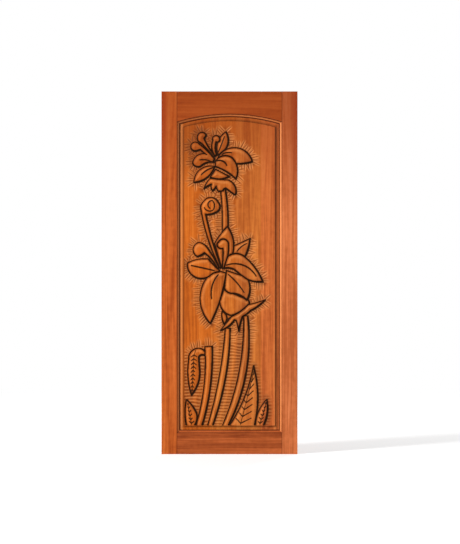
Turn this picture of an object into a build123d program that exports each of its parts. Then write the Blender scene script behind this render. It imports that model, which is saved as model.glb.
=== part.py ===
"""Carved panel door: a cope-and-stick leaf with an arched top rail and a relief-carved panel.

The frame is two full-height stiles, a straight bottom rail and a top rail that is arched
underneath, dowelled together. Four boards, glued edge to edge, make one raised panel that
floats in the frame's groove. Lilies, a bud, stems and leaves are carved in its front field.

Millimetres. X runs across the leaf, Z runs up, and the carved front looks along -Y.
The origin is at the middle of the leaf's bottom edge, halfway through its thickness.
"""

from build123d import *
import os
from math import hypot

# Leaf
door_width = 762.0
door_height = 2032.0
door_thickness = 40.0
arris_radius = 1.5

# Frame members: the flat face of each, and the moulding along its inner edge
stile_face = 87.0
bottom_rail_face = 120.0
top_rail_face = 126.0
arch_radius = 990.0
sticking_width = 14.0
sticking_drop = 9.0
sticking_step = 1.5
sticking_bulge = 1.8
groove_width = 12.0
groove_depth = 12.0
sawing_allowance = 14.0

# Dowels in the four frame joints
dowel_diameter = 16.0
dowel_length = 140.0
dowel_chamfer = 1.5
dowel_clearance = 0.1
dowel_glue_room = 1.0
dowel_spacing = 50.0
dowel_edge_distance = 37.0
bottom_joint_dowels = 2
top_joint_dowels = 3

# Panel
tongue_length = 10.0
tongue_clearance = 0.2
quirk_width = 1.0
bevel_width = 23.5
bevel_rise = 6.0
field_step = 3.0
panel_board_width = 140.0
middle_joint_x = 36.0

# Carving
carving_margin = 3.0
carving_floor = 8.0
groove_cut_depth = 6.5
groove_cut_half_width = 4.0
tool_tip = 0.5
ground_depth = 4.5
ground_reach = 32.0
layer_step = 0.6
vein_floor = 3.4
vein_width = 6.0
vein_end_width = 2.0

# The field for which the carving's outlines were drawn
drawn_field_width = 511.0
drawn_field_bottom = 158.5
drawn_field_height = 1709.0

# Places that follow from the sizes above
half_width = door_width / 2
half_thickness = door_thickness / 2
opening_half_width = half_width - stile_face - sticking_width
opening_bottom = bottom_rail_face + sticking_width
opening_top = door_height - top_rail_face - sticking_width
arch_centre_z = opening_top - arch_radius
rail_half_length = half_width - stile_face
groove_floor_bottom = opening_bottom - groove_depth

tongue_half = groove_width / 2 - tongue_clearance
bevel_top = tongue_half + bevel_rise
field_half = bevel_top + field_step
panel_half_width = opening_half_width + tongue_length
panel_bottom = groove_floor_bottom
panel_arch_radius = arch_radius + tongue_length
bevel_end = quirk_width + bevel_width
field_half_width = opening_half_width - bevel_end
field_bottom = opening_bottom + bevel_end
field_radius = arch_radius - bevel_end
field_height = arch_centre_z + field_radius - field_bottom


def arch_height(radius, x):
    """Height of an arc about the arch's centre, at a distance x from the middle."""
    return arch_centre_z + (radius**2 - x**2) ** 0.5


def arched_outline(half, bottom, radius):
    """Face with straight sides and bottom and the arch on top, in X and Z."""
    with BuildSketch() as outline:
        with BuildLine():
            shoulder = arch_height(radius, half)
            Polyline((-half, shoulder), (-half, bottom), (half, bottom), (half, shoulder))
            ThreePointArc((half, shoulder), (0, arch_centre_z + radius), (-half, shoulder))
        make_face()
    return outline.sketch


def frame_section(width):
    """Section of a frame member: outer edge at x = 0, moulded and grooved edge at x = width."""
    face_edge = width - sticking_width
    nose = half_thickness - sticking_drop
    with BuildSketch() as section:
        with BuildLine():
            Line((0, 0), (0, half_thickness - arris_radius))
            RadiusArc(
                (0, half_thickness - arris_radius),
                (arris_radius, half_thickness),
                arris_radius,
            )
            Line((arris_radius, half_thickness), (face_edge, half_thickness))
            Line((face_edge, half_thickness), (face_edge, half_thickness - sticking_step))
            SagittaArc(
                (face_edge, half_thickness - sticking_step),
                (width, nose),
                -sticking_bulge,
            )
            Polyline(
                (width, nose),
                (width, groove_width / 2),
                (width - groove_depth, groove_width / 2),
                (width - groove_depth, 0),
                (0, 0),
            )
        make_face()
        mirror(about=Plane.XZ)
    return section.sketch


def joint_dowel_heights(bottom, count):
    """Heights of the dowels in one joint, counted up from the lowest."""
    return [bottom + number * dowel_spacing for number in range(count)]


bottom_dowel_heights = joint_dowel_heights(dowel_edge_distance, bottom_joint_dowels)
top_dowel_heights = joint_dowel_heights(
    door_height - dowel_edge_distance - (top_joint_dowels - 1) * dowel_spacing,
    top_joint_dowels,
)


def dowel_places(heights):
    """Planes across the left and right joints, facing outward, one for each dowel."""
    return [
        Plane(origin=(side * opening_half_width, 0, height), z_dir=(side, 0, 0))
        for side in (-1, 1)
        for height in heights
    ]


def dowel_bores(heights):
    """The bores of one rail's dowels, with room for glue at their ends."""
    with BuildPart() as bores:
        for place in dowel_places(heights):
            with BuildSketch(place):
                Circle(dowel_diameter / 2 + dowel_clearance)
            extrude(amount=dowel_length / 2 + dowel_glue_room, both=True)
    return bores.part


bottom_bores = dowel_bores(bottom_dowel_heights)
top_bores = dowel_bores(top_dowel_heights)

# Stiles run the full height of the leaf
with BuildPart() as left_stile:
    with BuildSketch(Plane(origin=(-half_width, 0, 0), x_dir=(1, 0, 0), z_dir=(0, 0, 1))):
        add(frame_section(stile_face + sticking_width))
    extrude(amount=door_height)
    add([bottom_bores, top_bores], mode=Mode.SUBTRACT)

with BuildPart() as right_stile:
    with BuildSketch(Plane(origin=(half_width, 0, 0), x_dir=(-1, 0, 0), z_dir=(0, 0, 1))):
        add(frame_section(stile_face + sticking_width))
    extrude(amount=door_height)
    add([bottom_bores, top_bores], mode=Mode.SUBTRACT)


# The rails fit between the stiles: each end is cut to the stile's moulding and keeps a stub tenon
with BuildPart() as bottom_rail:
    with BuildSketch(Plane(origin=(0, 0, 0), x_dir=(0, 0, 1), z_dir=(1, 0, 0))):
        add(frame_section(bottom_rail_face + sticking_width))
    extrude(amount=rail_half_length, both=True)
    add(bottom_bores, mode=Mode.SUBTRACT)
    add([left_stile.part, right_stile.part], mode=Mode.SUBTRACT)

top_rail_reach = hypot(rail_half_length, door_height - arch_centre_z)
top_rail_blank = top_rail_reach - arch_radius + sawing_allowance
top_rail_bottom = arch_height(arch_radius, rail_half_length)

with BuildPart() as top_rail:
    with BuildSketch(
        Plane(
            origin=(0, 0, arch_centre_z + arch_radius + top_rail_blank),
            x_dir=(0, 0, -1),
            z_dir=(1, 0, 0),
        )
    ):
        add(frame_section(top_rail_blank))
    revolve(axis=Axis((0, 0, arch_centre_z), (0, 1, 0)), revolution_arc=360)
    with BuildSketch(Plane.XZ.offset(-half_thickness)):
        with Locations((0, (door_height + top_rail_bottom) / 2)):
            Rectangle(2 * rail_half_length, door_height - top_rail_bottom)
    extrude(amount=door_thickness, mode=Mode.INTERSECT)
    fillet(top_rail.edges().filter_by(Axis.X).group_by(Axis.Z)[-1], arris_radius)
    add(top_bores, mode=Mode.SUBTRACT)
    add([left_stile.part, right_stile.part], mode=Mode.SUBTRACT)


def bevel_waste(tongue):
    """Section of the wood that the panel-raising cutter takes off: the panel's edge at x = 0."""
    clear = door_thickness
    with BuildSketch() as waste:
        with BuildLine():
            Polyline(
                (-clear, tongue_half),
                (tongue + quirk_width, tongue_half),
                (tongue + bevel_end, bevel_top),
                (tongue + bevel_end, clear),
                (-clear, clear),
                close=True,
            )
        make_face()
        mirror(about=Plane.XZ)
    return waste.sketch


# The raised panel, before it is carved and seen as its separate boards
with BuildPart() as raised_panel:
    with BuildSketch(Plane.XZ.offset(-field_half)):
        add(arched_outline(panel_half_width, panel_bottom, panel_arch_radius))
    extrude(amount=2 * field_half)
    for side in (-1, 1):
        edge = Plane(
            origin=(side * panel_half_width, 0, 0), x_dir=(-side, 0, 0), z_dir=(0, 0, 1)
        )
        with BuildSketch(edge):
            add(bevel_waste(tongue_length))
        extrude(amount=door_height, mode=Mode.SUBTRACT)
    with BuildSketch(Plane(origin=(0, 0, panel_bottom), x_dir=(0, 0, 1), z_dir=(1, 0, 0))):
        add(bevel_waste(groove_depth))
    extrude(amount=half_width, both=True, mode=Mode.SUBTRACT)
    crown = Plane(
        origin=(0, 0, arch_centre_z + panel_arch_radius), x_dir=(0, 0, -1), z_dir=(1, 0, 0)
    )
    with BuildSketch(crown):
        add(bevel_waste(tongue_length))
    revolve(
        axis=Axis((0, 0, arch_centre_z), (0, 1, 0)), revolution_arc=360, mode=Mode.SUBTRACT
    )


def at(x, z):
    """Place of a drawn point on the field, which the drawing fills from edge to edge."""
    across = 2 * field_half_width / drawn_field_width
    up = field_height / drawn_field_height
    return (x * across, field_bottom + (z - drawn_field_bottom) * up)


def outline(start, *stretches):
    """Face of stretches, each its end, for a line, or its middle and end, for an arc.

    A line closes the face where the last stretch doesn't.
    """
    with BuildSketch() as face:
        with BuildLine():
            here = at(*start)
            for *middle, end in stretches:
                if middle:
                    ThreePointArc(here, at(*middle[0]), at(*end))
                else:
                    Line(here, at(*end))
                here = at(*end)
            if here != at(*start):
                Line(here, at(*start))
        make_face()
    return face.sketch


def petal(base, left, tip, right):
    """Leaf shape of two arcs that meet at the base and at the tip."""
    return outline(base, (left, tip), (right, base))


def disc(centre, radius):
    """Round head of a stamen or a bud."""
    with BuildSketch() as face:
        with Locations(at(*centre)):
            Circle(radius)
    return face.sketch


def ribbon(points, widths):
    """Strip of changing width along a line through two points or an arc through three."""
    centres = [Vector(*at(*point)) for point in points]
    left, right = [], []
    if len(centres) == 3:
        with BuildLine(mode=Mode.PRIVATE):
            course = ThreePointArc(*centres)
    else:
        with BuildLine(mode=Mode.PRIVATE):
            course = Line(*centres)
    for number, (centre, width) in enumerate(zip(centres, widths)):
        along = course.tangent_at(number / (len(centres) - 1))
        aside = Vector(-along.Y, along.X) * (width / 2)
        left.append(centre + aside)
        right.append(centre - aside)
    edge = ThreePointArc if len(centres) == 3 else Line
    with BuildSketch() as face:
        with BuildLine():
            edge(*left)
            Line(left[-1], right[-1])
            edge(*right[::-1])
            Line(right[0], left[0])
        make_face()
    return face.sketch


def chevron(points, heights):
    """Band of changing height through three points, turning sharply at the middle one."""
    centres = [Vector(*at(*point)) for point in points]
    upper = [centre + Vector(0, height / 2) for centre, height in zip(centres, heights)]
    lower = [centre - Vector(0, height / 2) for centre, height in zip(centres, heights)]
    with BuildSketch() as face:
        with BuildLine():
            Polyline(*upper, *lower[::-1], close=True)
        make_face()
    return face.sketch


# Upper lily, with a curled bud beside its stem
top_petal = petal((-64, 1676), (-68, 1742), (-20, 1807), (-6, 1752))
right_petal = petal((-68, 1655), (5, 1716), (128, 1639), (40, 1627))
left_petal = outline(
    (-86, 1636),
    ((-160, 1683), (-207, 1632)),
    ((-190, 1613), (-160, 1614)),
    ((-125, 1634), (-86, 1636)),
)
lower_left_petal = petal((-82, 1612), (-158, 1600), (-200, 1523), (-125, 1550))
curled_petal = outline(
    (-80, 1640),
    ((-38, 1670), (14, 1661)),
    ((42, 1614), (36, 1542)),
    ((-18, 1584), (-80, 1612)),
)
under_petal = outline((-78, 1597), ((0, 1556),), ((-50, 1541), (-108, 1552)))
clubbed_stamen = outline(
    (-82, 1652),
    ((-130, 1705), (-174, 1742)),
    ((-217, 1722), (-180, 1701)),
    ((-164, 1706),),
    ((-128, 1675), (-92, 1642)),
)
hooked_stamen = outline(
    (-90, 1664),
    ((-125, 1708), (-160, 1744)),
    ((-178, 1758), (-180, 1778)),
    ((-160, 1803), (-130, 1787)),
    ((-142, 1768),),
    ((-118, 1722), (-80, 1672)),
)
curved_stamen = outline(
    (-84, 1672),
    ((-99, 1715), (-94, 1757)),
    ((-74, 1786), (-54, 1768)),
    ((-57, 1752), (-74, 1749)),
    ((-79, 1712), (-70, 1676)),
)
upper_calyx = outline(
    (-108, 1546),
    ((-60, 1540), (-8, 1537)),
    ((26, 1510), (37, 1466)),
    ((33, 1456), (22, 1458)),
    ((3, 1472), (-20, 1490)),
    ((-30, 1485), (-36, 1474)),
    ((-60, 1472),),
    ((-70, 1484), (-74, 1500)),
    ((-83, 1486), (-95, 1476)),
    ((-103, 1493), (-101, 1512)),
    ((-121, 1502), (-143, 1489)),
    ((-129, 1519), (-108, 1546)),
)
upper_stem = ribbon([(-38, 1490), (-26, 1370), (-25, 1235)], [28, 32, 34])
curled_bud = outline(
    (-55, 1043),
    ((-123, 1213), (-162, 1378)),
    ((-158, 1400), (-147, 1414)),
    ((-104, 1439), (-62, 1410)),
    ((-54, 1378), (-80, 1353)),
    ((-106, 1344), (-133, 1343)),
    ((-102, 1216), (-45, 1045)),
)

# Lower lily
back_petal = outline(
    (-45, 1045),
    ((-84, 1180),),
    ((-52, 1230), (-10, 1275)),
    ((24, 1180), (-20, 1045)),
)
small_right_petal = outline(
    (18, 1112), ((19, 1148), (29, 1170)), ((66, 1186), (115, 1209)), ((107, 1158), (86, 1105))
)
horned_stamen = outline(
    (-58, 1046),
    ((-92, 1108), (-130, 1165)),
    ((-152, 1181), (-172, 1187)),
    ((-204, 1148), (-180, 1107)),
    ((-160, 1114), (-140, 1127)),
    ((-106, 1097), (-66, 1036)),
)
lower_stamen = outline(
    (-41, 1042),
    ((-36, 1100), (-36, 1152)),
    ((-53, 1152), (-66, 1163)),
    ((-69, 1175), (-60, 1188)),
    ((-30, 1204), (-5, 1172)),
    ((-9, 1106), (-27, 1043)),
)
wide_left_petal = outline(
    (-57, 1030),
    ((-88, 1059), (-118, 1094)),
    ((-178, 1092), (-236, 1071)),
    ((-231, 1032), (-205, 1000)),
    ((-155, 983), (-108, 1000)),
    ((-84, 1015), (-57, 1021)),
)
wide_right_petal = outline(
    (-30, 1040),
    ((-21, 1074), (-8, 1108)),
    ((36, 1123), (85, 1106)),
    ((143, 1045), (187, 966)),
    ((142, 967), (100, 979)),
    ((64, 1005), (28, 1034)),
    ((0, 1043), (-30, 1040)),
)
hanging_petal = outline(
    (-50, 1024),
    ((-102, 1006), (-140, 970)),
    ((-165, 870), (-107, 731)),
    ((-50, 870), (-18, 1015)),
)
lower_right_petal = outline(
    (-18, 1030),
    ((100, 990),),
    ((115, 925), (98, 861)),
    ((62, 888), (25, 900)),
    ((-5, 904), (-28, 928)),
)
cup = outline(
    (-32, 922),
    ((98, 868),),
    ((112, 848), (98, 826)),
    ((58, 796), (10, 776)),
    ((-35, 802), (-54, 862)),
)
lower_calyx = outline(
    (200, 865),
    ((152, 849), (105, 837)),
    ((62, 799), (12, 770)),
    ((-10, 744), (-50, 694)),
    ((-6, 714), (27, 752)),
    ((38, 748),),
    ((46, 720), (52, 690)),
    ((60, 730), (72, 768)),
    ((96, 784), (118, 804)),
    ((160, 829), (200, 865)),
)
small_scale = petal((-42, 800), (-16, 774), (-30, 727), (-42, 762))

# Stems and leaves, which run on past the field's bottom edge
left_stem = ribbon([(-118, 604), (-125, 380), (-174, 150)], [42, 36, 34])
middle_stem = ribbon([(-10, 706), (-41, 425), (-112, 150)], [28, 36, 27])
right_stem = ribbon([(90, 775), (74, 462), (-28, 150)], [24, 40, 30])
drooping_leaf = outline(
    (-132, 560),
    ((-148, 585), (-175, 594)),
    ((-213, 577), (-229, 530)),
    ((-233, 430), (-214, 330)),
    ((-180, 385), (-168, 480)),
    ((-170, 512), (-172, 542)),
    ((-160, 555), (-132, 542)),
)
small_left_leaf = outline(
    (-238, 150),
    ((-250, 235), (-241, 306)),
    ((-205, 266), (-183, 225)),
    ((-183, 190), (-200, 150)),
)
big_leaf = outline((-8, 150), ((78, 305), (134, 497)), ((158, 350), (138, 150)))
small_right_leaf = outline((145, 150), ((162, 238), (209, 307)), ((213, 238), (186, 150)))

# What is drawn in a later layer lies in front of what is drawn in an earlier one
layers = [
    [upper_stem, middle_stem, small_scale, cup, top_petal, small_right_petal]
    + [drooping_leaf, small_left_leaf, big_leaf, small_right_leaf],
    [back_petal, curled_bud, lower_right_petal, right_stem, left_stem, right_petal, left_petal]
    + [clubbed_stamen, hooked_stamen, curved_stamen],
    [horned_stamen, lower_stamen, under_petal, hanging_petal, lower_left_petal],
    [curled_petal, wide_left_petal, wide_right_petal, upper_calyx, lower_calyx],
]

# The ground is lowered around a plainer shape where a figure's own outline is finely cut
plain_shapes = [
    disc((-192, 1722), 26),
    disc((-155, 1778), 26),
    disc((-74, 1766), 20),
    outline((-143, 1489), ((-108, 1546),), ((26, 1520), (37, 1466)), ((-50, 1468), (-143, 1489))),
    disc((-107, 1392), 47),
    ribbon([(-147, 1385), (-112, 1217), (-50, 1045)], [28, 23, 10]),
    disc((-168, 1147), 38),
    petal((-50, 694), (60, 790), (200, 865), (95, 765)),
    petal((-214, 330), (-232, 450), (-175, 594), (-170, 450)),
]
ground_shapes = plain_shapes + [top_petal, right_petal, left_petal, lower_left_petal]
ground_shapes += [curled_petal, upper_stem, back_petal, small_right_petal, wide_left_petal]
ground_shapes += [wide_right_petal, hanging_petal, lower_right_petal]
ground_shapes += [left_stem, middle_stem, right_stem, small_left_leaf, big_leaf, small_right_leaf]

curved_veins = [
    [(-42, 1679), (-16, 1690), (14, 1688)],
    [(-74, 1641), (-40, 1643), (-14, 1615)],
    [(-90, 1606), (-125, 1592), (-158, 1564)],
    [(-108, 1643), (-138, 1650), (-168, 1648)],
    [(-62, 1692), (-42, 1742), (-28, 1782)],
    [(-141, 1383), (-120, 1363), (-92, 1367)],
    [(-92, 1367), (-84, 1396), (-96, 1421)],
    [(-96, 1421), (-118, 1408), (-107, 1376)],
    [(-18, 1058), (62, 1063), (150, 996)],
    [(-215, 1057), (-150, 1043), (-84, 1028)],
    [(-62, 1006), (-93, 955), (-99, 868)],
    [(-8, 1008), (40, 962), (82, 905)],
    [(42, 1135), (68, 1163), (98, 1181)],
]


def side_veins(rib_start, rib_end, count, left_reach, right_reach, rise):
    """Side veins in pairs up a straight rib. Each reach is given at the rib's two ends."""
    pairs = []
    for number in range(count):
        share = number / (count - 1)
        x = rib_start[0] + (rib_end[0] - rib_start[0]) * share
        z = rib_start[1] + (rib_end[1] - rib_start[1]) * share
        left = left_reach[0] + (left_reach[1] - left_reach[0]) * share
        right = right_reach[0] + (right_reach[1] - right_reach[0]) * share
        pairs.append([(x - left, z + rise), (x, z), (x + right, z + rise)])
    return pairs


vein_pairs = (
    side_veins((63, 172), (132, 440), 8, (28, 6), (60, 11), 30)
    + side_veins((172, 172), (203, 278), 6, (14, 4), (14, 5), 12)
    + side_veins((-214, 172), (-233, 275), 6, (13, 3), (16, 5), 12)
    + side_veins((-198, 556), (-209, 362), 10, (18, 9), (17, 9), -13)
)


def grown(face, growth, depth):
    """The face offset by growth, lying at a depth below the field."""
    with BuildSketch(Plane.XZ.offset(field_half - depth)) as section:
        add(face)
        if growth:
            offset(amount=growth, kind=Kind.ARC, mode=Mode.REPLACE)
    return section.sketch


# Where the carver's tools reach: inside a plain rim, from above the field to the deepest cut
with BuildPart() as carving_space:
    with BuildSketch(Plane.XZ.offset(door_thickness)):
        add(
            arched_outline(
                field_half_width - carving_margin,
                field_bottom + carving_margin,
                field_radius - carving_margin,
            )
        )
    extrude(amount=field_half - carving_floor - door_thickness)


def flared(face, bottom, top):
    """Solid between two sections of a face, each given as its growth and its depth."""
    with BuildPart() as solid:
        loft([grown(face, *bottom), grown(face, *top)], ruled=True)
        add(carving_space.part, mode=Mode.INTERSECT)
    return solid.part


def above(growth, start):
    """Section where a flank, straight from the section start, is clear above the field."""
    rise = (start[1] + tool_tip) / start[1]
    return (start[0] + (growth - start[0]) * rise, -tool_tip)


def outline_cut(face):
    """V groove along a figure's outline, taken over the whole figure."""
    bottom = (tool_tip, groove_cut_depth)
    return flared(face, bottom, above(groove_cut_half_width, bottom))


def ground_cut(face):
    """Ground lowered around a figure, rising to the field at the end of its reach."""
    bottom = (groove_cut_half_width, ground_depth)
    return flared(face, bottom, above(ground_reach, bottom))


def figure_body(face, top_depth):
    """A figure's own wood, inside its groove, from the groove's bottom to the figure's top."""
    bottom = (-tool_tip / 2, groove_cut_depth + tool_tip)
    return flared(face, bottom, (-groove_cut_half_width, top_depth))


def vein_cut(shape, points):
    """V groove along a vein, widest at its middle point."""
    with BuildPart() as cut:
        loft(
            [
                grown(shape(points, [tool_tip] * 3), 0, vein_floor),
                grown(shape(points, [vein_end_width, vein_width, vein_end_width]), 0, -tool_tip),
            ],
            ruled=True,
        )
    return cut.part


ground_cuts = [ground_cut(face) for face in ground_shapes]
layer_cuts = [[outline_cut(face) for face in layer] for layer in layers]
layer_bodies = [
    [figure_body(face, (len(layers) - 1 - number) * layer_step) for face in layer]
    for number, layer in enumerate(layers)
]
vein_cuts = [vein_cut(ribbon, points) for points in curved_veins]
vein_cuts += [vein_cut(chevron, points) for points in vein_pairs]

# The carved panel: the ground first, then each layer of figures from the back, then the veins
with BuildPart() as carved_panel:
    add(raised_panel.part)
    for cut in ground_cuts:
        add(cut, mode=Mode.SUBTRACT, clean=False)
    for cuts, bodies in zip(layer_cuts, layer_bodies):
        add(cuts, mode=Mode.SUBTRACT, clean=False)
        add(bodies, clean=False)
    add(vein_cuts, mode=Mode.SUBTRACT, clean=False)

# Four boards make the panel: the outer two reach from the last joint into the stile's groove
joints = [middle_joint_x + number * panel_board_width for number in (-1, 0, 1)]
board_edges = [-half_width, *joints, half_width]
panel_boards = []
for left_edge, right_edge in zip(board_edges, board_edges[1:]):
    with BuildPart() as panel_board:
        add(carved_panel.part)
        with BuildSketch(Plane.XZ.offset(-half_thickness)):
            with Locations(((left_edge + right_edge) / 2, door_height / 2)):
                Rectangle(right_edge - left_edge, door_height)
        extrude(amount=door_thickness, mode=Mode.INTERSECT)
    panel_boards.append(panel_board)

dowels = []
for place in dowel_places(bottom_dowel_heights) + dowel_places(top_dowel_heights):
    with BuildPart() as dowel:
        with BuildSketch(place):
            Circle(dowel_diameter / 2)
        extrude(amount=dowel_length / 2, both=True)
        chamfer(dowel.edges().filter_by(GeomType.CIRCLE), dowel_chamfer)
    dowels.append(dowel)

left_stile.part.label = "left_stile"
right_stile.part.label = "right_stile"
bottom_rail.part.label = "bottom_rail"
top_rail.part.label = "top_rail"
for number, panel_board in enumerate(panel_boards, start=1):
    panel_board.part.label = f"panel_board_{number}"
for number, dowel in enumerate(dowels, start=1):
    dowel.part.label = f"dowel_{number}"

os.makedirs("parts", exist_ok=True)
for piece in [left_stile, right_stile, bottom_rail, top_rail, *panel_boards, *dowels]:
    export_step(piece.part, f"parts/{piece.part.label}.step")
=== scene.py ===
# %% [markdown]
# # A carved panel door
#
# A timber door leaf: two stiles and two rails hold one raised panel, and lilies are carved in the
# panel's face. The solids come from the CAD model, which this script loads as a fixed frame. The
# work here is the finish: wood with a grain that follows each piece, a dark stain in the carved
# lines, and the fine gouge strokes that the carver left round the figures.

# %% The fixed frame
from collections import deque
from math import atan2, cos, pi, radians, sin

import bmesh
import bpy
import numpy as np
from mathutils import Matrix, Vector
from mathutils.bvhtree import BVHTree
from mathutils.kdtree import KDTree


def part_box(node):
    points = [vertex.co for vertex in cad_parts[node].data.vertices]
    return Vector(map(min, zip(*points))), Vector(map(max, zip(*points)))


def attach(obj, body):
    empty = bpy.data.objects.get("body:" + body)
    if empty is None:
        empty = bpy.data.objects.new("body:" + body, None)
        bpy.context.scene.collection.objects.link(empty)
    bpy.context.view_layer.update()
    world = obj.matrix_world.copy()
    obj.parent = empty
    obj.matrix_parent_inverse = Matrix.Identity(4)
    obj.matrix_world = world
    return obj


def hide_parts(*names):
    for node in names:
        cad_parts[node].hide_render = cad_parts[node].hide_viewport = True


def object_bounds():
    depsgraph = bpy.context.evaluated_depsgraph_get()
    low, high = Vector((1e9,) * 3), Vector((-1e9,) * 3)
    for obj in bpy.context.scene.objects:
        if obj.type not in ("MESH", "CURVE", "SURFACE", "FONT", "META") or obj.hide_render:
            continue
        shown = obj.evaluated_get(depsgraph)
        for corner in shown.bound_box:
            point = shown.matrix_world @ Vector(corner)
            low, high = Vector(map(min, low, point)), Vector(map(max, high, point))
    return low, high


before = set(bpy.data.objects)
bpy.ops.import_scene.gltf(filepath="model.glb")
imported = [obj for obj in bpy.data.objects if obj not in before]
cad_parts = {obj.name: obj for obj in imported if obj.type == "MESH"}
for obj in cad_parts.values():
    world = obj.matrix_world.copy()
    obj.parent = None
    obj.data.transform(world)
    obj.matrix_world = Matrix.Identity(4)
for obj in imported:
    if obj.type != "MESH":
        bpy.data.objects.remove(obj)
cad_box = [list(corner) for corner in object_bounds()]
boards = [f"panel_board_{number}" for number in (1, 2, 3, 4)]
print("leaf from", cad_box[0], "to", cad_box[1])

# %% [markdown]
# ## Sizes
#
# Everything is in metres. What the frame can say is read from it: where the boards lie and how
# far the arch over the panel is curved. The radius of an arc follows from how much it drops over
# a known half width. The rest are the sizes of the panel's worked edge: a flat quirk, a bevel up
# to the raised field, and an uncarved rim inside the field's edge.

# %% Sizes of the panel
panel_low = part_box("panel_board_1")[0]
panel_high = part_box("panel_board_4")[1]
panel_half = panel_high.x
panel_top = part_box("panel_board_2")[1].z
field_y = panel_low.y
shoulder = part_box("panel_board_4")
sagitta = panel_top - shoulder[1].z
panel_radius = (shoulder[0].x ** 2 + sagitta**2) / (2 * sagitta)
arch_z = panel_top - panel_radius

opening_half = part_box("right_stile")[0].x
opening_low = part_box("bottom_rail")[1].z
tongue = panel_half - opening_half
quirk = 0.001
bevel = 0.0235
rim = 0.003
field_half = opening_half - quirk - bevel
field_low = opening_low + quirk + bevel
field_radius = panel_radius - tongue - quirk - bevel
print(f"arch of radius {panel_radius:.3f} about height {arch_z:.3f}")
print(f"field {2 * field_half:.3f} wide")

# %% [markdown]
# ## Reading the relief
#
# The CAD boards already carry the carving: V grooves round each figure and lowered ground. It
# could be drawn again here, but then the two would drift apart, so it is measured instead. A ray
# from the front against a board's mesh gives the height of the wood at any place. The heights are
# gathered in one table over the whole panel, because the gouge strokes run across the joints
# between the boards.

# %% Height of the wood at a place
reach = 0.2
hair = 0.00005


def ray_trees():
    """One search tree for each board's CAD mesh."""
    trees = {}
    for board in boards:
        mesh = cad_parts[board].data
        points = [vertex.co for vertex in mesh.vertices]
        trees[board] = BVHTree.FromPolygons(points, [face.vertices[:] for face in mesh.polygons])
    return trees


def surface(tree, x, z, side):
    """Where a ray from the front, side -1, or from the back, side 1, meets the board."""
    hit = tree.ray_cast(Vector((x, side * reach, z)), Vector((0, -side, 0)))[0]
    return field_y * -side if hit is None else hit.y


trees = ray_trees()
print("search trees for", ", ".join(trees))

# %% The table of depths
pitch = 0.0015
margin = bevel + quirk
columns = np.arange(-field_half - margin, field_half + margin, pitch)
rows = np.arange(field_low - margin, arch_z + field_radius + margin, pitch)
depth = np.zeros((len(rows), len(columns)))
for board in boards:
    low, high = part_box(board)
    for column, x in enumerate(columns):
        if low.x <= x < high.x:
            top = arch_z + ((field_radius + bevel) ** 2 - x**2) ** 0.5
            for row, z in enumerate(rows):
                if z < top:
                    depth[row, column] = surface(trees[board], x, z, -1) - field_y
print(f"{depth.size} depths, the deepest {depth.max() * 1000:.1f} mm")

# %% [markdown]
# ## The outline grooves
#
# A carver cuts the outline of each figure first, with a V tool. In the table these grooves are
# the deepest cells, so one limit on the depth finds them. A narrow rim along the field's edge is
# left out, because the wood drops away to the bevel there.

# %% Cells at the bottom of a groove
groove_depth = 0.0047
x_table, z_table = np.meshgrid(columns, rows)
edge_gap = np.minimum(field_half - np.abs(x_table), z_table - field_low)
edge_gap = np.minimum(edge_gap, field_radius - np.hypot(x_table, z_table - arch_z))
carved = edge_gap > rim
groove = carved & (depth > groove_depth)
print(f"{groove.sum()} cells in grooves")

# %% [markdown]
# ## How far from a groove
#
# All the hand work starts at a groove and fades away from it. So each cell needs its distance
# from the nearest groove and the direction away from it. Comparing every cell with every groove
# cell would take minutes, and a search tree of the groove cells gives the nearest one at once.

# %% Distance and direction from the nearest groove
groove_tree = KDTree(int(groove.sum()))
for number, (row, column) in enumerate(np.argwhere(groove)):
    groove_tree.insert((columns[column], rows[row], 0), number)
groove_tree.balance()
distance = np.zeros(depth.shape)
away_x = np.zeros(depth.shape)
away_z = np.zeros(depth.shape)
for row, z in enumerate(rows):
    for column, x in enumerate(columns):
        near, _, gap = groove_tree.find((x, z, 0))
        distance[row, column] = gap
        away_x[row, column] = x - near.x
        away_z[row, column] = z - near.y
print(f"furthest place from a groove: {distance.max() * 1000:.0f} mm")

# %% [markdown]
# ## Figures and ground
#
# The grooves part the panel into regions, and a flood fill, as in a paint program, numbers them.
# What a region is shows just inside its groove: the wood is high there in a petal or a stem, and
# low in the ground that the carver has sunk round them. The middle value of that band decides,
# because a vein or a joint may cross it.

# %% Regions between the grooves
rim_guard = 1.5 * pitch
region = np.where(groove | (edge_gap < rim + rim_guard), 0, -1)
region_count = 0
for seed_row, seed_column in np.argwhere(region < 0):
    if region[seed_row, seed_column] >= 0:
        continue
    region_count += 1
    region[seed_row, seed_column] = region_count
    front = deque([(seed_row, seed_column)])
    while front:
        row, column = front.popleft()
        for next_row, next_column in (
            (row - 1, column),
            (row + 1, column),
            (row, column - 1),
            (row, column + 1),
        ):
            inside = 0 <= next_row < len(rows) and 0 <= next_column < len(columns)
            if inside and region[next_row, next_column] < 0:
                region[next_row, next_column] = region_count
                front.append((next_row, next_column))
print(f"{region_count} regions")

# %% Which regions are figures
shoulder_from, shoulder_to = 0.0035, 0.0065
figure_depth = 0.0027
shoulder_band = (distance > shoulder_from) & (distance < shoulder_to)
figure = np.zeros(depth.shape, bool)
sunk = np.zeros(depth.shape)
for number in range(1, region_count + 1):
    cells = region == number
    band = depth[cells & shoulder_band]
    if len(band) and np.median(band) < figure_depth:
        figure |= cells
        sunk[cells] = depth[cells] - np.median(band)
ground = ~figure & ~groove & carved
print(f"{figure.sum()} cells in figures, {ground.sum()} in the ground")

# %% [markdown]
# ## Helpers for the hand work
#
# Hand work is never even, so it needs soft passages and slow random changes. Three helpers on
# tables are enough: a soft step, a blur, and random patches, which are blurred noise. The random
# numbers are seeded, so the panel comes out the same each time.

# %% Soft steps, blurs and patches
random = np.random.default_rng(7)


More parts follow.
